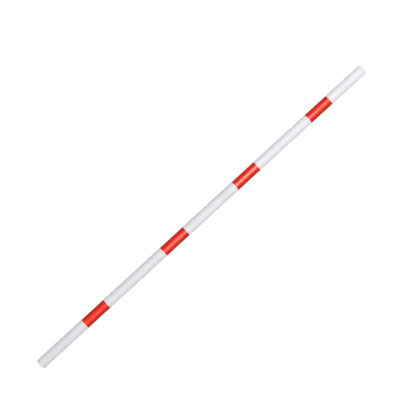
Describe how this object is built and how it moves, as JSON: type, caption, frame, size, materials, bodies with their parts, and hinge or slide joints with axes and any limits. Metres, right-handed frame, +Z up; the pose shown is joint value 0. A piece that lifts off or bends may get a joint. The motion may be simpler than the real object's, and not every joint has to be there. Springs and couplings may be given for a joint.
{
  "type": "barrier gate boom pole",
  "caption": "Straight round barrier gate boom, white with red reflective bands, plugged at both ends and lined at the root where the gate clamps it.",
  "frame": {"origin": "centre of the root plug's flat outer face, on the boom's axis", "axes": "+X along the boom from root to tip, +Z up, with the overlap of each film band on the lower side towards +Y"},
  "size_m": [3.005, 0.073, 0.073],
  "materials": {
    "white_coating": "satin white powder coat",
    "red_film": "red reflective film",
    "cap_plastic": "moulded off-white plastic",
    "bare_aluminium": "mill finish"
  },
  "bodies": {
    "root": {"boom_tube": "white_coating", "root_end_cap": "cap_plastic", "tip_end_cap": "cap_plastic", "root_liner": "bare_aluminium", "red_band_1": "red_film", "red_band_2": "red_film", "red_band_3": "red_film", "red_band_4": "red_film"}
  },
  "joints": []
}
